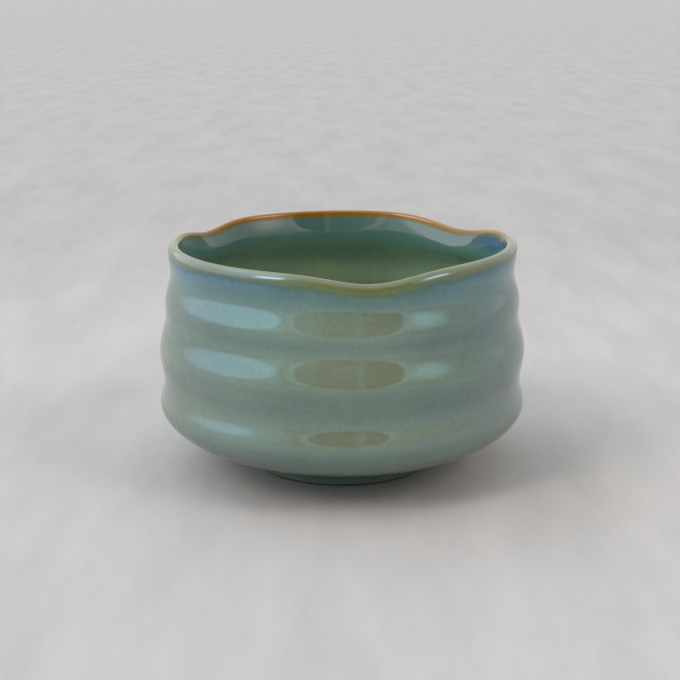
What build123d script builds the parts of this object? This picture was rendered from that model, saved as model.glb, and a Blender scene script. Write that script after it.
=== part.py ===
from build123d import *
import os
from math import cos, exp, radians, sin, tan

# Matcha bowl: a wheel-thrown stoneware bowl on a turned foot ring, with a thin glaze coat.
# Millimetres.  +Z is up, the origin is the centre of the face that the foot ring rests on.
# Every profile is (radius from the bowl's axis, height), and is the clay surface:
# the glaze lies on top of it.

# ---- overall ----
RIM_HEIGHT = 77.0          # top of the clay lip, between its dips
RIM_LEAN = 0.5             # how much the whole rim leans, and towards which side
RIM_LEAN_ANGLE = 50.0
LIP_DIPS = (               # angle round the rim, depth, half-width in degrees
    (40.5, 3.7, 17.0),
    (149.0, 2.6, 11.5),
    (279.3, 3.2, 16.5),
)
WAVE_FADES_FROM = 74.5     # the wall below this height shares less and less of the dips
WAVE_ENDS_AT = 62.0
WALL_THICKNESS = 3.1
LIP_OUTER_RADIUS = 2.0     # the lip is rounder outside than inside
LIP_INNER_RADIUS = 0.8
LIP_SLANT = 13.0           # how far the inside of the lip leans outwards, in degrees

# ---- outer wall, from the foot up ----
FOOT_TOP = (34.2, 5.2)
UNDERSIDE = ((41.5, 7.9), (50.5, 11.2), (58.9, 16.3))
BELLY = (62.05, 21.8)
LOWER_WAIST = (60.65, 30.2)
MIDDLE_RIDGE = (61.95, 41.3)
UPPER_WAIST = (59.5, 53.0)
UPPER_RIDGE = (59.7, 57.4)
NECK = (57.6, 67.2)
LIP_RADIUS = 58.2
UNDERSIDE_SLOPE = (0.92, 0.39)

# ---- foot ----
FOOT_RADIUS = 30.8
FOOT_SIDE_HEIGHT = 2.8
FOOT_RING_WIDTH = 4.6
FOOT_EDGE_RADIUS = 0.6
RECESS_CORNER_RADIUS = 1.2
BARE_CLAY_HEIGHT = 0.9     # the glaze stops this far above the table
RECESS_RADIUS = FOOT_RADIUS - FOOT_RING_WIDTH

# ---- inside ----
FLOOR_HEIGHT = 11.2
FLOOR_CENTRE_RADIUS = 8.0  # the flat middle of the floor
INNER_NECK = (54.0, 66.4)  # the wall is thicker here, so its inside flares out above it
INNER_FLOOR = ((24.0, 11.9), (40.0, 14.6), (51.0, 18.8))

# ---- glaze ----
GLAZE_THICKNESS = 0.4
LIP_BAND_OUTSIDE = 3.65    # depth of the lip's own glaze below the rim, outside and inside
LIP_BAND_INSIDE = 2.2

# ---- how finely the curved surfaces are made ----
RIM_POINTS = 72
FOOT_STEPS = 8
WALL_STEPS = 34
FLOOR_TO_RIM_STEPS = 34
LIP_STEPS = 6

GLAZED_RIM_HEIGHT = RIM_HEIGHT + GLAZE_THICKNESS
OUTER_BAND_EDGE = (LIP_RADIUS, GLAZED_RIM_HEIGHT - LIP_BAND_OUTSIDE)
CREST_RADIUS = LIP_RADIUS - LIP_OUTER_RADIUS


def rim_drop(angle):
    """How far the rim lies below its nominal height at an angle in degrees."""
    drop = -RIM_LEAN * cos(radians(angle - RIM_LEAN_ANGLE))
    for centre, depth, half_width in LIP_DIPS:
        away = (angle - centre + 180) % 360 - 180
        drop += depth * exp(-((away / half_width) ** 2))
    return drop


def ring(point):
    """One closed ring round the bowl, a circle low down and wavy near the rim."""
    radius, height = point
    share = (height - WAVE_ENDS_AT) / (WAVE_FADES_FROM - WAVE_ENDS_AT)
    if share <= 0:
        return Edge.make_circle(radius, Plane((0, 0, height)))
    share = min(share, 1.0)
    points = []
    for step in range(RIM_POINTS):
        angle = 360 * step / RIM_POINTS
        x = radius * cos(radians(angle))
        y = radius * sin(radians(angle))
        points.append(Vector(x, y, height - share * rim_drop(angle)))
    return Edge.make_spline(points, periodic=True)


def thrown(points, joined_up=False):
    """A solid skinned over rings; its two ends are flat discs, or joined to each other."""
    rings = [ring(point) for point in points]
    following = rings[1:] + rings[:1] if joined_up else rings[1:]
    skin = [Face.make_surface_from_curves(a, b) for a, b in zip(rings, following)]
    if not joined_up:
        skin += [Face(Wire([rings[0]])), Face(Wire([rings[-1]]))]
    return Solid(Shell(skin))


def along(line, steps, distance=0.0):
    """Points along a profile, each moved square to it by a distance."""
    points = []
    for step in range(steps + 1):
        point = line @ (step / steps)
        heading = line % (step / steps)
        points.append((point.X + distance * heading.Z, point.Z - distance * heading.X))
    return points


# ---- the profiles ----
with BuildLine(Plane.XZ) as foot_side:
    Spline(
        (FOOT_RADIUS, BARE_CLAY_HEIGHT),
        (FOOT_RADIUS, FOOT_SIDE_HEIGHT),
        FOOT_TOP,
        tangents=[(0, 1), UNDERSIDE_SLOPE],
    )

with BuildLine(Plane.XZ) as outer_wall:
    Spline(
        FOOT_TOP,
        *UNDERSIDE,
        BELLY,
        LOWER_WAIST,
        MIDDLE_RIDGE,
        UPPER_WAIST,
        UPPER_RIDGE,
        NECK,
        OUTER_BAND_EDGE,
        tangents=[UNDERSIDE_SLOPE, (0, 1)],
    )

with BuildLine(Plane.XZ) as lip_outside:
    CenterArc((CREST_RADIUS, RIM_HEIGHT - LIP_OUTER_RADIUS), LIP_OUTER_RADIUS, 0, 90)

with BuildLine(Plane.XZ) as lip_inside:
    CenterArc((CREST_RADIUS, RIM_HEIGHT - LIP_INNER_RADIUS), LIP_INNER_RADIUS, 90, 90 - LIP_SLANT)

lip_inside_end = lip_inside.line @ 1
inner_edge_height = GLAZED_RIM_HEIGHT - LIP_BAND_INSIDE
inner_edge_radius = lip_inside_end.X - (lip_inside_end.Z - inner_edge_height) * tan(radians(LIP_SLANT))

inner_stations = []
for radius, height in (BELLY, LOWER_WAIST, MIDDLE_RIDGE, UPPER_WAIST, UPPER_RIDGE):
    inner_stations.append((radius - WALL_THICKNESS, height))
inner_stations.append(INNER_NECK)

with BuildLine(Plane.XZ) as inner_wall:
    Spline(
        (FLOOR_CENTRE_RADIUS, FLOOR_HEIGHT),
        *INNER_FLOOR,
        *inner_stations,
        (inner_edge_radius, inner_edge_height),
        tangents=[(1, 0), (sin(radians(LIP_SLANT)), cos(radians(LIP_SLANT)))],
    )


def outer_side(distance=0.0):
    return along(outer_wall.line, WALL_STEPS, distance)


def inner_side(distance=0.0):
    return along(inner_wall.line, FLOOR_TO_RIM_STEPS, -distance)


def lip(distance=0.0):
    """From the outer side over the crest to the slanted inside."""
    return along(lip_outside.line, LIP_STEPS, distance) + along(lip_inside.line, LIP_STEPS, distance)[1:]


# ---- clay ----
with BuildPart() as clay_body:
    add(thrown(outer_side() + lip() + inner_side()[::-1]))

with BuildPart() as foot_ring:
    with BuildSketch(Plane.XZ):
        with BuildLine():
            Polyline(
                *along(foot_side.line, FOOT_STEPS),
                (RECESS_RADIUS, FOOT_TOP[1]),
                (RECESS_RADIUS, 0),
                (FOOT_RADIUS, 0),
                close=True,
            )
        make_face()
    revolve(axis=Axis.Z)
    resting_face = faces().sort_by(Axis.Z)[0]
    fillet(resting_face.edges(), FOOT_EDGE_RADIUS)

# ---- glaze ----
with BuildPart() as outer_glaze:
    surface = along(foot_side.line, FOOT_STEPS, GLAZE_THICKNESS) + outer_side(GLAZE_THICKNESS)[1:]
    clay = along(foot_side.line, FOOT_STEPS) + outer_side()[1:]
    add(thrown(surface + clay[::-1], joined_up=True))

with BuildPart() as lip_glaze:
    surface = [outer_side(GLAZE_THICKNESS)[-1], *lip(GLAZE_THICKNESS), inner_side(GLAZE_THICKNESS)[-1]]
    clay = [outer_side()[-1], *lip(), inner_side()[-1]]
    add(thrown(surface + clay[::-1], joined_up=True))

with BuildPart() as inner_glaze:
    add(thrown(inner_side(GLAZE_THICKNESS) + inner_side()[::-1]))

with BuildPart() as foot_glaze:
    with BuildSketch(Plane.XZ):
        with BuildLine():
            Polyline(
                (0, FOOT_TOP[1]),
                (RECESS_RADIUS, FOOT_TOP[1]),
                (RECESS_RADIUS, BARE_CLAY_HEIGHT),
                (RECESS_RADIUS - GLAZE_THICKNESS, BARE_CLAY_HEIGHT),
                (RECESS_RADIUS - GLAZE_THICKNESS, FOOT_TOP[1] - GLAZE_THICKNESS),
                (0, FOOT_TOP[1] - GLAZE_THICKNESS),
                close=True,
            )
        make_face()
    revolve(axis=Axis.Z)
    recess_corner = edges().filter_by(GeomType.CIRCLE).group_by(Axis.Z)[-2]
    fillet(recess_corner, RECESS_CORNER_RADIUS)

# ---- written files ----
os.makedirs("parts", exist_ok=True)

clay_body.part.label = "clay_body"
export_step(clay_body.part, "parts/clay_body.step")

foot_ring.part.label = "foot_ring"
export_step(foot_ring.part, "parts/foot_ring.step")

outer_glaze.part.label = "outer_glaze"
export_step(outer_glaze.part, "parts/outer_glaze.step")

lip_glaze.part.label = "lip_glaze"
export_step(lip_glaze.part, "parts/lip_glaze.step")

inner_glaze.part.label = "inner_glaze"
export_step(inner_glaze.part, "parts/inner_glaze.step")

foot_glaze.part.label = "foot_glaze"
export_step(foot_glaze.part, "parts/foot_glaze.step")
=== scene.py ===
# A matcha bowl in glazed stoneware, standing on a pale table in soft window light.
# Blender units are metres; the bowl's own sizes are written in millimetres and scaled once.
# Angles round the bowl run from +X towards +Y, in degrees, and its front is at -Y.
import math

import bpy
import numpy as np
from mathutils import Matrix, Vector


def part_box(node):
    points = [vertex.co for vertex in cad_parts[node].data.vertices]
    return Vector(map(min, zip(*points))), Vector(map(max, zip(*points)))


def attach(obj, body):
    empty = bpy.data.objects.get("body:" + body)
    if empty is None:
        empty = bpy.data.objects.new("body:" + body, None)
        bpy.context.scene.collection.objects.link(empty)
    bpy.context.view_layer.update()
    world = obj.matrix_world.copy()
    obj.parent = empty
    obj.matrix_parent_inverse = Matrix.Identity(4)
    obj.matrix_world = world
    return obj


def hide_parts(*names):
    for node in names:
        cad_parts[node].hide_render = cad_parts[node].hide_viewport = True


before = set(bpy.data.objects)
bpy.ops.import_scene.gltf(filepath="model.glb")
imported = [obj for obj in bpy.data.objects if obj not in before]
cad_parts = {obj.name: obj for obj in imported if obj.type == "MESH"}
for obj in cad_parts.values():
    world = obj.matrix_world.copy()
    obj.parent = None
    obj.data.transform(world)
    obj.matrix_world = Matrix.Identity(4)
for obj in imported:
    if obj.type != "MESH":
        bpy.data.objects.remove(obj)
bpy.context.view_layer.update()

MM = 0.001

# ---- the bowl's profile: (radius, height) of the glazed surface, from the foot up ----
GLAZE_THICKNESS = 0.4
HEM_HEIGHT = 0.9                 # bare clay shows below this
FOOT_RADIUS = 31.2
FOOT_SIDE_HEIGHT = 2.7
FOOT_SIDE = ((FOOT_RADIUS, HEM_HEIGHT), (FOOT_RADIUS, FOOT_SIDE_HEIGHT), (34.0, 4.85))
UNDERSIDE_SLOPE = (0.92, 0.39)   # direction of the surface where the foot flares into the underside
UNDERSIDE = ((41.6, 7.5), (50.7, 10.85), (59.2, 16.1))
WALL = (
    (62.45, 21.8),               # belly
    (61.05, 30.2),               # lower waist
    (62.35, 41.3),               # middle ridge
    (59.9, 53.0),                # upper waist
    (60.1, 57.4),                # upper ridge
    (58.0, 67.2),                # neck
    (58.6, 73.75),               # lip band's lower edge
)
RIM_HEIGHT = 77.4
LIP_OUTER_RADIUS = 2.4           # the lip is rounder outside than inside
LIP_INNER_RADIUS = 1.2
LIP_SLANT = 13.0                 # how far the inside of the lip leans outwards, in degrees
LIP_INSIDE_HEIGHT = 75.28        # the lip band's inner edge
INNER_WALL = (                   # from the lip down
    (53.6, 66.4),                # neck
    (56.2, 57.4),                # behind the upper ridge
    (56.0, 53.0),                # upper waist
    (58.45, 41.3),               # middle ridge
    (57.15, 30.2),               # lower waist
    (58.55, 21.8),               # belly
)
INNER_FLOOR = ((51.0, 19.2), (40.0, 15.0), (24.0, 12.3), (8.0, 11.6))

# ---- the foot's clay and the coat in its recess ----
FOOT_EDGE_RADIUS = 0.6
FOOT_FLARE = (0.9, 4.0)          # how much wider the clay foot is, and at what height
RECESS_CORNER_RADIUS = 1.2
RECESS_HEM_SLOPE = 0.15          # the coat's edge is this much higher on its glossy side

# ---- the rim's wave ----
RIM_LEAN = 0.5                   # how much the whole rim leans, and towards which side
RIM_LEAN_ANGLE = 50.0
LIP_DIPS = (                     # angle round the rim, depth, half-width in degrees
    (40.5, 3.7, 17.0),
    (149.0, 2.6, 11.5),
    (279.3, 3.2, 16.5),
)
WAVE_FADES_FROM = 74.5           # the wall below this height shares less and less of the dips
WAVE_ENDS_AT = 62.0

# ---- what the potter's hand left out of true ----
OVAL_BY = 0.10                   # the wall is a little oval
THREE_SIDED_BY = 0.07            # and a little three-sided, turning as it climbs
RIPPLE_BY = 0.10                 # with shallow ripples from the fingers
TRUE_UP_TO = 6.0                 # the foot is turned true
UNEVEN_FROM = 18.0               # the unevenness is full from here up

# ---- how the glaze's colours change round the bowl, in degrees ----
BLOOM_LOST = 0.85                # share of the blue bloom that is gone in a dip of the rim
BLOOM_LOST_WIDTH = 2.2           # how much wider than the dip that reaches
BLUE_PATCH_ANGLE = 14.0          # the blue patch inside
BLUE_PATCH_HALF_WIDTH = 17.0
AMBER_ANGLE = 88.0               # the middle of the lip's amber part
AMBER_ENDS = 100.0               # how far it reaches on either side
AMBER_FADE = 62.0                # how far it takes to fade

# ---- how finely the skin is made ----
COLUMNS = 288
FOOT_ROWS = 8
OUTER_ROWS = 110
LIP_ROWS = 28
INNER_ROWS = 84
BACK_STEP = 3                    # the side against the clay is this much coarser
SPLINE_SAMPLES = 4000            # laid along a curve before its points are evened out
ARC_SAMPLES = 100
CREST_REACH = 0.45               # the crest's own glaze ends this far down the outside
ROUND_STEPS = 6


# ---------------------------------------------------------------- geometry
def evened_out(path, count):
    """Points along a path of (radius, height) at equal distances."""
    length = np.concatenate([[0.0], np.cumsum(np.linalg.norm(np.diff(path, axis=0), axis=1))])
    even = np.linspace(0, length[-1], count + 1)
    return np.stack([np.interp(even, length, path[:, 0]), np.interp(even, length, path[:, 1])], axis=1)


def smooth_line(stations, start, end, count):
    """Evenly spaced points on a cubic spline through stations, with given end directions."""
    point = np.array(stations, float)
    chord = np.linalg.norm(np.diff(point, axis=0), axis=1)
    run = np.concatenate([[0.0], np.cumsum(chord)])
    n = len(point)
    system = np.zeros((n, n))
    known = np.zeros((n, 2))
    system[0, 0] = 1.0
    system[-1, -1] = 1.0
    known[0] = np.array(start) / np.linalg.norm(start)
    known[-1] = np.array(end) / np.linalg.norm(end)
    for i in range(1, n - 1):
        before, after = chord[i - 1], chord[i]
        system[i, i - 1] = after
        system[i, i] = 2 * (before + after)
        system[i, i + 1] = before
        rise = (point[i] - point[i - 1]) * after / before + (point[i + 1] - point[i]) * before / after
        known[i] = 3 * rise
    slope = np.linalg.solve(system, known)
    fine = np.linspace(0, run[-1], SPLINE_SAMPLES)
    span = np.clip(np.searchsorted(run, fine, side="right") - 1, 0, n - 2)
    width = chord[span][:, None]
    u = ((fine - run[span]) / chord[span])[:, None]
    curve = (
        (2 * u**3 - 3 * u**2 + 1) * point[span]
        + (u**3 - 2 * u**2 + u) * width * slope[span]
        + (3 * u**2 - 2 * u**3) * point[span + 1]
        + (u**3 - u**2) * width * slope[span + 1]
    )
    return evened_out(curve, count)


def lip_arc(count):
    """The rounded lip, from the outside over the crest to its slanted inside."""
    crest = WALL[-1][0] - LIP_OUTER_RADIUS
    path = [np.array(WALL[-1])]
    for radius, first, last in ((LIP_OUTER_RADIUS, 0, 90), (LIP_INNER_RADIUS, 90, 180 - LIP_SLANT)):
        centre = np.array([crest, RIM_HEIGHT - radius])
        turn = np.radians(np.linspace(first, last, ARC_SAMPLES))
        path += list(centre + radius * np.stack([np.cos(turn), np.sin(turn)], axis=1))
    slant = math.tan(math.radians(LIP_SLANT))
    end_radius = path[-1][0] - (path[-1][1] - LIP_INSIDE_HEIGHT) * slant
    path.append(np.array([end_radius, LIP_INSIDE_HEIGHT]))
    return evened_out(np.array(path), count)


def degrees_from(centre, angle):
    """How far an angle is past a centre, from -180 to 180."""
    return (angle - centre + 180) % 360 - 180


def rim_drop(angle):
    """How far the rim lies below its nominal height, for angles in degrees."""
    drop = -RIM_LEAN * np.cos(np.radians(angle - RIM_LEAN_ANGLE))
    for centre, depth, half_width in LIP_DIPS:
        drop = drop + depth * np.exp(-((degrees_from(centre, angle) / half_width) ** 2))
    return drop


def bloom_share(angle):
    """How much of the blue bloom is left: the glaze ran thin where the rim dips."""
    share = np.ones_like(angle)
    for centre, _, half_width in LIP_DIPS:
        away = degrees_from(centre, angle) / (BLOOM_LOST_WIDTH * half_width)
        share = share - BLOOM_LOST * np.exp(-(away**2))
    return np.clip(share, 0, 1)


def inner_bloom_share(angle):
    """Inside, the blue gathers in one patch below the rim."""
    return np.exp(-((degrees_from(BLUE_PATCH_ANGLE, angle) / BLUE_PATCH_HALF_WIDTH) ** 2))


def amber_share(angle):
    """Where the glaze breaks to amber on the inner edge of the lip."""
    away = np.abs(degrees_from(AMBER_ANGLE, angle))
    return np.clip((AMBER_ENDS - away) / AMBER_FADE, 0, 1)


def hand_made(angle, height):
    """How far the potter's hand left the wall out of true, in millimetres."""
    a = np.radians(angle)
    oval = OVAL_BY * np.sin(2 * a + 0.7)
    three_sided = THREE_SIDED_BY * np.sin(3 * a - height * 0.05)
    ripples = RIPPLE_BY * np.sin(height * 0.42 + 1.3 * np.sin(a + 0.4)) * np.sin(2 * a + height * 0.03)
    share = np.clip((height - TRUE_UP_TO) / (UNEVEN_FROM - TRUE_UP_TO), 0, 1)
    return (oval + three_sided + ripples) * share


def skin():
    """The profile of the glazed surface from the hem, over the lip, to the middle of the floor.

    Also how far each row lies outside the crest, along the surface, and each coat's rows.
    """
    foot = smooth_line(FOOT_SIDE, (0, 1), UNDERSIDE_SLOPE, FOOT_ROWS)
    outside = smooth_line([FOOT_SIDE[-1], *UNDERSIDE, *WALL], UNDERSIDE_SLOPE, (0, 1), OUTER_ROWS)
    lip = lip_arc(LIP_ROWS)
    down_the_slant = (-math.sin(math.radians(LIP_SLANT)), -math.cos(math.radians(LIP_SLANT)))
    inside = smooth_line([tuple(lip[-1]), *INNER_WALL, *INNER_FLOOR], down_the_slant, (-1, 0), INNER_ROWS)
    profile = np.concatenate([foot, outside[1:], lip[1:], inside[1:]])
    lip_starts = FOOT_ROWS + OUTER_ROWS
    inside_starts = lip_starts + LIP_ROWS
    marks = {
        "outer": (0, lip_starts),
        "lip": (lip_starts, inside_starts),
        "inner": (inside_starts, len(profile) - 1),
    }
    steps = np.linalg.norm(np.diff(profile, axis=0), axis=1)
    run = np.concatenate([[0.0], np.cumsum(steps)])
    crest = run[np.argmax(profile[:, 1])]
    return profile, crest - run, marks


def turned_grid(profile):
    """Points of a profile carried round the bowl with the rim's wave: rows, columns, xyz."""
    angle = np.arange(COLUMNS) * 360 / COLUMNS
    share = np.clip((profile[:, 1] - WAVE_ENDS_AT) / (WAVE_FADES_FROM - WAVE_ENDS_AT), 0, 1)
    share = share * share * (3 - 2 * share)
    radius = profile[:, 0][:, None] + hand_made(angle[None, :], profile[:, 1][:, None])
    height = profile[:, 1][:, None] - share[:, None] * rim_drop(angle)[None, :]
    a = np.radians(angle)[None, :]
    return np.stack([radius * np.cos(a), radius * np.sin(a), height], axis=2)


def grid_normals(grid):
    """Outward normals of a grid of rows and closed columns."""
    along = np.gradient(grid, axis=0)
    around = np.roll(grid, -1, axis=1) - np.roll(grid, 1, axis=1)
    normal = np.cross(around, along)
    return normal / np.linalg.norm(normal, axis=2, keepdims=True)


def new_piece(name, points, faces, material):
    """A smooth-shaded object from points in millimetres."""
    mesh = bpy.data.meshes.new(name)
    mesh.from_pydata([tuple(p * MM) for p in points], [], faces)
    mesh.materials.append(material)
    piece = bpy.data.objects.new(name, mesh)
    bpy.context.scene.collection.objects.link(piece)
    mesh.polygons.foreach_set("use_smooth", [True] * len(mesh.polygons))
    return piece


def point_values(mesh, name, values):
    """One number for each point of a mesh, which its material reads by name."""
    attribute = mesh.attributes.new(name, "FLOAT", "POINT")
    attribute.data.foreach_set("value", values.astype(np.float32))


def ring_faces(a, b):
    """Quads between two closed rows that start at vertices a and b."""
    return [
        (a + i, a + (i + 1) % COLUMNS, b + (i + 1) % COLUMNS, b + i)
        for i in range(COLUMNS)
    ]


def coat(name, grid, normals, depth, rows, material, crest_material=None, closed_floor=False):
    """One coat of glaze as a closed shell: its glossy side and the side against the clay."""
    first, last = rows
    front = list(range(first, last + 1))
    back = sorted(set(range(first, last + 1, BACK_STEP)) | {last}, reverse=True)
    clay_side = grid - normals * GLAZE_THICKNESS
    points = np.concatenate([grid[front].reshape(-1, 3), clay_side[back].reshape(-1, 3)])
    point_normals = np.concatenate([normals[front].reshape(-1, 3), -normals[back].reshape(-1, 3)])
    point_depth = np.concatenate([np.repeat(depth[front], COLUMNS), np.repeat(depth[back], COLUMNS)])
    starts = [k * COLUMNS for k in range(len(front) + len(back))]
    faces = []
    for k, (a, b) in enumerate(zip(starts, starts[1:] + starts[:1])):
        meets_floor = closed_floor and k == len(front) - 1
        if not meets_floor:
            faces += ring_faces(a, b)
    if closed_floor:
        floor_row = starts[len(front) - 1]
        faces.append(tuple(floor_row + i for i in range(COLUMNS)))
        clay_row = starts[len(front)]
        faces.append(tuple(clay_row + i for i in reversed(range(COLUMNS))))
    piece = new_piece(name, points, faces, material)
    mesh = piece.data
    if crest_material:
        mesh.materials.append(crest_material)
        for polygon in mesh.polygons:
            depths = [point_depth[v] for v in polygon.vertices]
            polygon.material_index = 1 if max(depths) < CREST_REACH else 0
    around = np.arange(COLUMNS) * 360.0 / COLUMNS
    round_share = inner_bloom_share(around) if closed_floor else bloom_share(around)
    point_values(mesh, "below_rim", point_depth)
    point_values(mesh, "bloom", np.tile(round_share, len(starts)))
    point_values(mesh, "amber", np.tile(amber_share(around), len(starts)))
    mesh.normals_split_custom_set_from_vertices([tuple(n) for n in point_normals])
    return piece


def lathe(name, outline, material):
    """A closed outline of (radius, height) turned round the axis; radius 0 makes a pole."""
    points = []
    faces = []
    rows = []
    angle = np.radians(np.arange(COLUMNS) * 360 / COLUMNS)
    for radius, height in outline:
        if radius <= 0:
            rows.append((len(points), True))
            points.append(np.array([0, 0, height]))
        else:
            rows.append((len(points), False))
            for a in angle:
                points.append(np.array([radius * math.cos(a), radius * math.sin(a), height]))
    for (a, pole_a), (b, pole_b) in zip(rows, rows[1:] + rows[:1]):
        if pole_a and pole_b:
            continue
        if pole_a:
            faces += [(a, b + (i + 1) % COLUMNS, b + i) for i in range(COLUMNS)]
        elif pole_b:
            faces += [(a + i, a + (i + 1) % COLUMNS, b) for i in range(COLUMNS)]
        else:
            faces += ring_faces(a, b)
    return new_piece(name, points, faces, material)


def rounded(centre, radius, start):
    """Points of a quarter round, from a start angle to a quarter turn on."""
    turns = [math.radians(start + 90 * k / ROUND_STEPS) for k in range(ROUND_STEPS + 1)]
    return [(centre[0] + radius * math.cos(a), centre[1] + radius * math.sin(a)) for a in turns]


# ---------------------------------------------------------------- shader helpers
def node(tree, kind, values=None, **settings):
    """A new node; values go to its inputs, by name or number, as links or as plain values."""
    made = tree.nodes.new(kind)
    for key, value in settings.items():
        setattr(made, key, value)
    for key, value in (values or {}).items():
        if isinstance(value, bpy.types.NodeSocket):
            tree.links.new(value, made.inputs[key])
        else:
            made.inputs[key].default_value = value
    return made


def math_node(tree, operation, a, b=0.0):
    return node(tree, "ShaderNodeMath", {0: a, 1: b}, operation=operation).outputs[0]


def times(tree, a, b):
    return math_node(tree, "MULTIPLY", a, b)


def minus(tree, a, b):
    return math_node(tree, "SUBTRACT", a, b)


def remap(tree, value, low, high, out_low=0.0, out_high=1.0, smooth=True):
    """A value's way from low to high carried over to out_low and out_high, and held there."""
    made = node(
        tree,
        "ShaderNodeMapRange",
        {"Value": value, "From Min": low, "From Max": high, "To Min": out_low, "To Max": out_high},
        interpolation_type="SMOOTHSTEP" if smooth else "LINEAR",
    )
    return made.outputs["Result"]


def mix_colour(tree, share, a, b, blend="MIX"):
    """From colour a, at share 0, to colour b, at share 1."""
    made = node(tree, "ShaderNodeMix", data_type="RGBA", blend_type=blend)
    for socket, value in ((0, share), (6, a), (7, b)):
        if isinstance(value, bpy.types.NodeSocket):
            tree.links.new(value, made.inputs[socket])
        else:
            made.inputs[socket].default_value = value
    return made.outputs[2]


def rgb(red, green, blue):
    """A colour given as it looks on screen, 0 to 255, as the linear value that shaders use."""
    linear = [((c / 255 + 0.055) / 1.055) ** 2.4 if c > 10 else c / 255 / 12.92 for c in (red, green, blue)]
    return (*linear, 1.0)


def noise(tree, where, scale, detail=3.0, roughness=0.5, stretch=(1, 1, 1)):
    """Fractal noise in object space; stretch below 1 makes it longer along that axis."""
    mapped = node(tree, "ShaderNodeMapping", {"Vector": where, "Scale": stretch})
    made = node(
        tree,
        "ShaderNodeTexNoise",
        {"Vector": mapped.outputs[0], "Scale": scale, "Detail": detail, "Roughness": roughness},
    )
    return made.outputs["Fac"]


def blended(tree, broad, fine):
    """A broad noise with a finer one over it."""
    return math_node(tree, "ADD", times(tree, broad, 0.6), times(tree, fine, 0.4))


def ramp(tree, value, stops):
    """A colour ramp; stops are (position from 0 to 1, colour)."""
    made = node(tree, "ShaderNodeValToRGB", {"Fac": value})
    ends = made.color_ramp.elements
    while len(ends) > 1:
        ends.remove(ends[-1])
    ends[0].position, ends[0].color = stops[0]
    for position, colour in stops[1:]:
        ends.new(position).color = colour
    return made.outputs["Color"]


def new_material(name):
    """A material, its node tree, its shader, and object coordinates to lay patterns out in."""
    material = bpy.data.materials.new(name)
    material.use_nodes = True
    tree = material.node_tree
    place = node(tree, "ShaderNodeTexCoord").outputs["Object"]
    return material, tree, tree.nodes["Principled BSDF"], place


# ---------------------------------------------------------------- glaze
# Colours by depth: millimetres along the surface from the crest of the lip, either way.
BLOOMED_WALL = (
    (0.0, rgb(112, 121, 97)),
    (1.4, rgb(107, 119, 92)),
    (3.8, rgb(104, 118, 92)),
    (4.7, rgb(88, 108, 104)),
    (5.3, rgb(82, 112, 132)),
    (6.0, rgb(94, 127, 135)),
    (9.0, rgb(105, 131, 126)),
    (15.0, rgb(112, 127, 112)),
    (40.0, rgb(114, 125, 106)),
)
OLIVE_WALL = (
    (0.0, rgb(109, 117, 86)),
    (1.4, rgb(105, 112, 62)),
    (3.6, rgb(104, 114, 54)),
    (5.4, rgb(92, 102, 46)),
    (6.4, rgb(96, 112, 96)),
    (9.0, rgb(106, 126, 116)),
    (15.0, rgb(111, 126, 111)),
    (40.0, rgb(114, 125, 106)),
)
AMBER_EDGE = (
    (0.0, rgb(126, 94, 46)),
    (0.6, rgb(142, 98, 18)),
    (1.3, rgb(130, 88, 6)),
    (2.2, rgb(120, 92, 14)),
)
INSIDE = (
    (0.0, rgb(108, 120, 94)),
    (2.2, rgb(88, 104, 70)),
    (3.2, rgb(74, 108, 105)),
    (8.0, rgb(72, 109, 105)),
    (14.0, rgb(72, 110, 96)),
    (22.0, rgb(104, 132, 107)),
    (40.0, rgb(132, 143, 121)),
)
RAMP_SPAN = 40.0                 # the depth that a whole ramp covers
BLUE_PATCH = rgb(26, 76, 114)
BLUE_PATCH_TOP = (2.4, 3.4)      # the depths over which the blue patch comes in
BLUE_PATCH_END = (9.0, 5.0)      # and those over which it fades, from none to full
AMBER_DEPTH = 2.4                # how far down the inside the amber reaches at its strongest
POOLED_AND_SHADED = rgb(92, 116, 94)        # glaze that ran together above the foot, made darker still by painted shade near the table
POOLED_AND_SHADED_BELOW = 8.0               # heights above the table
POOLED_AND_SHADED_FULLY = 3.5
GLAZE_ROUGHNESS = 0.06


def depth_ramp(tree, depth, stops):
    position = math_node(tree, "DIVIDE", depth, RAMP_SPAN)
    return ramp(tree, position, [(stop / RAMP_SPAN, colour) for stop, colour in stops])


def drifting_depth(tree, below, place):
    """Depth from the crest, made to wander and run as glaze does: hardly on the lip, more below."""
    depth = math_node(tree, "ABSOLUTE", below)
    wander = minus(tree, noise(tree, place, scale=45, detail=2.0), 0.5)
    runs = minus(tree, noise(tree, place, scale=260, detail=2.0, stretch=(1, 1, 0.12)), 0.5)
    reach = remap(tree, depth, low=1.0, high=9.0, out_low=0.2, out_high=4.0)
    moved = times(tree, math_node(tree, "ADD", wander, runs), reach)
    return math_node(tree, "ADD", depth, moved)


def outside_colour(tree, depth, bloom):
    """Olive where the rim dips, and a blue bloom under the lip between the dips."""
    olive = depth_ramp(tree, depth, OLIVE_WALL)
    return mix_colour(tree, bloom, olive, depth_ramp(tree, depth, BLOOMED_WALL))


def inside_colour(tree, depth, bloom):
    """Teal below the lip and green further down, with one blue patch and an amber edge."""
    patch = times(tree, remap(tree, depth, *BLUE_PATCH_TOP), remap(tree, depth, *BLUE_PATCH_END))
    colour = depth_ramp(tree, depth, INSIDE)
    colour = mix_colour(tree, times(tree, patch, bloom), colour, BLUE_PATCH)
    amber = node(tree, "ShaderNodeAttribute", attribute_name="amber").outputs["Fac"]
    past_amber = minus(tree, depth, times(tree, amber, AMBER_DEPTH))
    share = times(tree, remap(tree, amber, 0.0, 0.3), remap(tree, past_amber, 0.6, 0.0))
    return mix_colour(tree, share, colour, depth_ramp(tree, depth, AMBER_EDGE))


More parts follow.
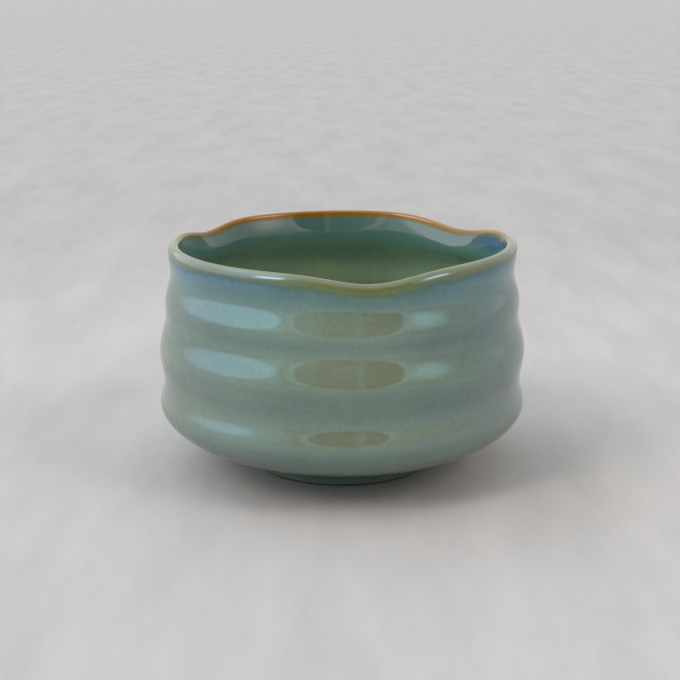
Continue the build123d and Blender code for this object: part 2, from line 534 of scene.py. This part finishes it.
def uneven(tree, colour, place, clouds):
    """Clouds, throwing lines and a fine speckle in the tone of a colour."""
    throwing = noise(tree, place, scale=60, stretch=(0.25, 0.25, 3.0))
    shade = remap(tree, blended(tree, clouds, throwing), 0.35, 0.65, out_low=0.90, out_high=1.10)
    speckle = remap(tree, noise(tree, place, scale=700), 0.3, 0.7, out_low=0.95, out_high=1.05)
    shade = times(tree, shade, speckle)
    grey = node(tree, "ShaderNodeCombineColor", {0: shade, 1: shade, 2: shade}).outputs[0]
    return mix_colour(tree, 1.0, colour, grey, "MULTIPLY")


def glaze(name, film_nm=0.0, film_ior=1.5, ior=1.5):
    """Glossy glaze that breaks to amber on the lip, blooms blue below it and pools green, with painted
    shade near the foot.
    """
    material, tree, shader, place = new_material(name)
    below = node(tree, "ShaderNodeAttribute", attribute_name="below_rim").outputs["Fac"]
    bloom = node(tree, "ShaderNodeAttribute", attribute_name="bloom").outputs["Fac"]
    depth = drifting_depth(tree, below, place)
    outside_share = remap(tree, below, 0.1, 0.5)
    inner = inside_colour(tree, depth, bloom)
    outer = outside_colour(tree, depth, bloom)
    colour = mix_colour(tree, outside_share, inner, outer)
    height = node(tree, "ShaderNodeSeparateXYZ", {0: place}).outputs["Z"]
    # painted shade: the glaze low on the bowl is darkened, partly for pooled glaze and partly for the shade
    # under the belly
    pooled_and_shaded = remap(tree, height, POOLED_AND_SHADED_BELOW * MM, POOLED_AND_SHADED_FULLY * MM)
    colour = mix_colour(tree, pooled_and_shaded, colour, POOLED_AND_SHADED)
    clouds = noise(tree, place, scale=28, detail=4.0)
    colour = uneven(tree, colour, place, clouds)

    orange_peel = noise(tree, place, scale=420, detail=2.0)
    bump = node(tree, "ShaderNodeBump", {"Height": orange_peel, "Strength": 0.05, "Distance": 0.2 * MM})
    rough = remap(tree, clouds, 0.3, 0.7, GLAZE_ROUGHNESS * 0.8, GLAZE_ROUGHNESS * 1.3)

    tree.links.new(colour, shader.inputs["Base Color"])
    tree.links.new(rough, shader.inputs["Roughness"])
    tree.links.new(bump.outputs["Normal"], shader.inputs["Normal"])
    shader.inputs["IOR"].default_value = ior
    shader.inputs["Thin Film Thickness"].default_value = film_nm
    shader.inputs["Thin Film IOR"].default_value = film_ior
    return material


def clay(name, dark, light):
    """Bare stoneware: matt, sandy and a little uneven in colour."""
    material, tree, shader, place = new_material(name)
    patches = noise(tree, place, scale=90, detail=5.0)
    grains = noise(tree, place, scale=1800, detail=2.0)
    colour = ramp(tree, blended(tree, patches, grains), [(0.35, dark), (0.65, light)])
    bump = node(tree, "ShaderNodeBump", {"Height": grains, "Strength": 0.5, "Distance": 0.2 * MM})
    tree.links.new(colour, shader.inputs["Base Color"])
    tree.links.new(bump.outputs["Normal"], shader.inputs["Normal"])
    shader.inputs["Roughness"].default_value = 0.85
    return material


# ---------------------------------------------------------------- the bowl
FILM_NM = 204.0                  # a thin film, in nanometres, tints what the glaze mirrors
WALL_FILM_IOR = 1.75
LIP_FILM_IOR = 1.66
INNER_IOR = 1.74

outer_material = glaze("outer glaze", FILM_NM, WALL_FILM_IOR)
lip_material = glaze("lip glaze", FILM_NM, LIP_FILM_IOR)
crest_material = glaze("crest glaze")
inner_material = glaze("inner glaze", ior=INNER_IOR)
foot_glaze_material = glaze("foot glaze", FILM_NM, WALL_FILM_IOR)
bare_clay = clay("bare clay", rgb(74, 44, 30), rgb(112, 72, 48))

profile, below_rim, marks = skin()
grid = turned_grid(profile)
normals = grid_normals(grid)

outside = coat("glaze_outside", grid, normals, below_rim, marks["outer"], outer_material)
lip = coat("glaze_lip", grid, normals, below_rim, marks["lip"], lip_material, crest_material)
inside = coat("glaze_inside", grid, normals, below_rim, marks["inner"], inner_material, closed_floor=True)

foot_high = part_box("foot_ring")[1]
recess_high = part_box("foot_glaze")[1]
foot_top = foot_high.z / MM
recess_radius = recess_high.x / MM
recess_ceiling = recess_high.z / MM


def turned_foot():
    """The clay ring that the bowl stands on, with its edges rounded."""
    radius = FOOT_RADIUS - GLAZE_THICKNESS
    flare, flare_height = FOOT_FLARE
    outline = [
        *rounded((recess_radius + FOOT_EDGE_RADIUS, FOOT_EDGE_RADIUS), FOOT_EDGE_RADIUS, 180),
        *rounded((radius - FOOT_EDGE_RADIUS, FOOT_EDGE_RADIUS), FOOT_EDGE_RADIUS, 270),
        (radius, HEM_HEIGHT),
        (radius, FOOT_SIDE_HEIGHT),
        (radius + flare, flare_height),
        (foot_high.x / MM, foot_top),
        (recess_radius, foot_top),
    ]
    return lathe("foot_ring_turned", outline, bare_clay)


def recess_coat():
    """The glaze on the side and the ceiling of the foot's recess."""
    radius = recess_radius - GLAZE_THICKNESS
    ceiling = recess_ceiling - GLAZE_THICKNESS
    corner = (radius - RECESS_CORNER_RADIUS, ceiling - RECESS_CORNER_RADIUS)
    outline = [
        (0, recess_ceiling),
        (recess_radius, recess_ceiling),
        (recess_radius, HEM_HEIGHT),
        (radius, HEM_HEIGHT + RECESS_HEM_SLOPE),
        (radius, corner[1]),
        *rounded(corner, RECESS_CORNER_RADIUS, 0),
        (0, ceiling),
    ]
    return lathe("glaze_foot_recess", outline, foot_glaze_material)


foot = turned_foot()
recess = recess_coat()

for piece, cad_node, slot in (
    (outside, "outer_glaze", "outer_glaze"),
    (lip, "lip_glaze", "lip_glaze"),
    (inside, "inner_glaze", "inner_glaze"),
    (foot, "foot_ring", "foot_clay"),
    (recess, "foot_glaze", "foot_glaze"),
):
    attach(piece, "root")
    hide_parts(cad_node)

hidden_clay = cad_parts["clay_body"]
hidden_clay.data.materials.clear()
hidden_clay.data.materials.append(bare_clay)


# ---------------------------------------------------------------- the table
TABLE_RADIUS = 9.0               # in metres, far enough out to fill the view
TABLE_SIDES = 72
TABLE_DARK = rgb(160, 162, 165)
TABLE_LIGHT = rgb(175, 177, 180)
BLACK = (0.0, 0.0, 0.0, 1)
PAINTED_SHADE_FROM = 0.05               # how far behind the bowl the painted shade on the table begins, in metres
PAINTED_SHADE_TO = 0.5
PAINTED_SHADE_BY = 0.16


def plaster():
    """Pale plaster in soft streaks, with painted shade darkening it a little towards the back."""
    material, tree, shader, place = new_material("plaster")
    patches = noise(tree, place, scale=30, detail=8.0, roughness=0.66, stretch=(1, 0.28, 1))
    colour = ramp(tree, patches, [(0.3, TABLE_DARK), (0.7, TABLE_LIGHT)])
    away = node(tree, "ShaderNodeSeparateXYZ", {0: place}).outputs["Y"]
    # painted shade: the table gets darker towards the back, standing in for the dimmer backdrop
    painted_shade = remap(tree, away, PAINTED_SHADE_FROM, PAINTED_SHADE_TO, 0.0, PAINTED_SHADE_BY)
    tree.links.new(mix_colour(tree, painted_shade, colour, BLACK), shader.inputs["Base Color"])
    shader.inputs["Roughness"].default_value = 0.8
    return material


def table():
    """A round table top, level with the face that the bowl stands on."""
    mesh = bpy.data.meshes.new("table")
    turns = [math.radians(360 * k / TABLE_SIDES) for k in range(TABLE_SIDES)]
    corners = [(TABLE_RADIUS * math.cos(a), TABLE_RADIUS * math.sin(a), 0.0) for a in turns]
    mesh.from_pydata(corners, [], [tuple(range(len(corners)))])
    mesh.materials.append(plaster())
    piece = bpy.data.objects.new("table", mesh)
    bpy.context.scene.collection.objects.link(piece)


table()

# ---------------------------------------------------------------- the room
# Turn is 0 towards -Y, in front of the bowl, and grows towards +X; lift is 0 at the horizon.
# Both are in degrees.  Colours here are light, so they may pass 1.
FRONT_WALL = (0.55, 0.51, 0.485, 1)
BACK_WALL = (0.98, 0.98, 0.97, 1)
CEILING = (1.12, 1.12, 1.12, 1)
WINDOW_TURN = -98
SILL = (0.85, 0.92, 0.96, 1)
FRONT_PANES = (2.12, 2.06, 2.1, 1)
BACK_PANES = (1.75, 1.8, 1.84, 1)
UPPER_SKY = (2.9, 3.0, 3.1, 1)
RIGHT_PANEL = (2.9, 2.35, 2.0, 1)
LEFT_LAMP = (13.0, 10.2, 8.4, 1)
RIGHT_LAMP = (10.0, 7.8, 6.3, 1)
DOORWAY_TURN = 4.5
DOORWAY_FRAME = (1.15, 1.03, 0.97, 1)
DOORWAY_LEFT = (0.28, 0.33, 0.35, 1)
DOORWAY_MIDDLE = (0.09, 0.13, 0.11, 1)
DOORWAY_STRIPE = (0.34, 0.34, 0.36, 1)
DOORWAY_RIGHT = (0.03, 0.03, 0.03, 1)
LIGHT_TINT = (0.98, 1.0, 1.0, 1)
LIGHT_STRENGTH = 0.9
SEEN_BACKDROP = (0.57, 0.57, 0.57, 1)


def oval(tree, turn, lift, across, up, wide, high, soft):
    """1 inside an oval of the surroundings, centred across and up."""
    x = math_node(tree, "DIVIDE", minus(tree, turn, across), wide)
    y = math_node(tree, "DIVIDE", minus(tree, lift, up), high)
    out = math_node(tree, "SQRT", math_node(tree, "ADD", times(tree, x, x), times(tree, y, y)))
    return remap(tree, out, 1 + soft, 1 - soft)


def opening(tree, turn, lift, across, wide, corner, top, soft):
    """1 inside an opening from the horizon up, with lower corners rounded up to a height."""
    off = math_node(tree, "ABSOLUTE", minus(tree, turn, across))
    under = remap(tree, lift, 0, corner, 1, 0, smooth=False)
    left_over = minus(tree, 1, times(tree, under, under))
    reach = times(tree, math_node(tree, "SQRT", left_over), wide)
    inside_edge = remap(tree, minus(tree, reach, off), -soft, soft)
    return times(tree, inside_edge, remap(tree, lift, top + 3, top - 3))


def doorway_colour(tree, turn):
    """The dim room beyond the doorway: paler on its left, with one pale stripe."""
    dim = mix_colour(tree, remap(tree, turn, 13, 15), DOORWAY_MIDDLE, DOORWAY_RIGHT)
    stripe = times(tree, remap(tree, turn, 8.5, 9.5), remap(tree, turn, 14, 13))
    dim = mix_colour(tree, stripe, dim, DOORWAY_STRIPE)
    return mix_colour(tree, remap(tree, turn, -14, -18), dim, DOORWAY_LEFT)


def room_colour(tree, turn, lift):
    """Walls and ceiling, a wide window on the left, a panel on the right, lamps, and a doorway."""
    around = math_node(tree, "ABSOLUTE", turn)
    walls = mix_colour(tree, remap(tree, around, 70, 125), FRONT_WALL, BACK_WALL)
    colour = mix_colour(tree, remap(tree, lift, 15, 75), walls, CEILING)

    sill = opening(tree, turn, lift, across=WINDOW_TURN, wide=63, corner=5, top=16, soft=4)
    colour = mix_colour(tree, sill, colour, SILL)
    window = opening(tree, turn, lift, across=WINDOW_TURN, wide=59, corner=24, top=52, soft=4)
    window = times(tree, window, remap(tree, lift, -3, 6))
    panes = mix_colour(tree, remap(tree, turn, -60, -125), FRONT_PANES, BACK_PANES)
    colour = mix_colour(tree, window, colour, panes)

    for glow, across, up, wide, high, soft in (
        (UPPER_SKY, -100, 58, 62, 15, 0.3),
        (RIGHT_PANEL, 58, 29, 18, 16, 0.5),
        (LEFT_LAMP, -53, 40, 12, 13, 0.3),
        (RIGHT_LAMP, 64, 39, 13, 11, 0.3),
    ):
        colour = mix_colour(tree, oval(tree, turn, lift, across, up, wide, high, soft), colour, glow)

    halo = opening(tree, turn, lift, across=DOORWAY_TURN, wide=42, corner=26, top=62, soft=4.0)
    colour = mix_colour(tree, halo, colour, DOORWAY_FRAME)
    doorway = opening(tree, turn, lift, across=DOORWAY_TURN, wide=36, corner=28, top=60, soft=0.9)
    colour = mix_colour(tree, doorway, colour, doorway_colour(tree, turn))
    return mix_colour(tree, 1.0, colour, LIGHT_TINT, "MULTIPLY")


def room():
    """Soft daylight all round the bowl, with a plain backdrop for the camera."""
    world = bpy.data.worlds.new("room")
    bpy.context.scene.world = world
    world.use_nodes = True
    tree = world.node_tree
    direction = node(tree, "ShaderNodeTexCoord").outputs["Generated"]
    parts = node(tree, "ShaderNodeSeparateXYZ", {0: direction}).outputs
    ahead = times(tree, parts["Y"], -1.0)
    turn = times(tree, math_node(tree, "ARCTAN2", parts["X"], ahead), 180 / math.pi)
    lift = times(tree, math_node(tree, "ARCSINE", parts["Z"]), 180 / math.pi)
    colour = room_colour(tree, turn, lift)
    seen = node(tree, "ShaderNodeBackground", {"Color": SEEN_BACKDROP})
    lit = node(tree, "ShaderNodeBackground", {"Color": colour, "Strength": LIGHT_STRENGTH})
    camera_ray = node(tree, "ShaderNodeLightPath").outputs["Is Camera Ray"]
    both = node(tree, "ShaderNodeMixShader", {0: camera_ray, 1: lit.outputs[0], 2: seen.outputs[0]})
    tree.links.new(both.outputs[0], tree.nodes["World Output"].inputs["Surface"])


room()

# ---------------------------------------------------------------- the camera
CAMERA_PLACE = (-0.0008, -0.45, 0.1613)
CAMERA_TILT = 14.857             # degrees below the horizon
CAMERA_LENS = 71.5

lens = bpy.data.cameras.new("camera")
lens.lens = CAMERA_LENS
camera = bpy.data.objects.new("camera", lens)
camera.location = CAMERA_PLACE
camera.rotation_euler = (math.radians(90 - CAMERA_TILT), 0, 0)
bpy.context.scene.collection.objects.link(camera)
bpy.context.scene.camera = camera
bpy.context.scene.view_settings.view_transform = "Standard"
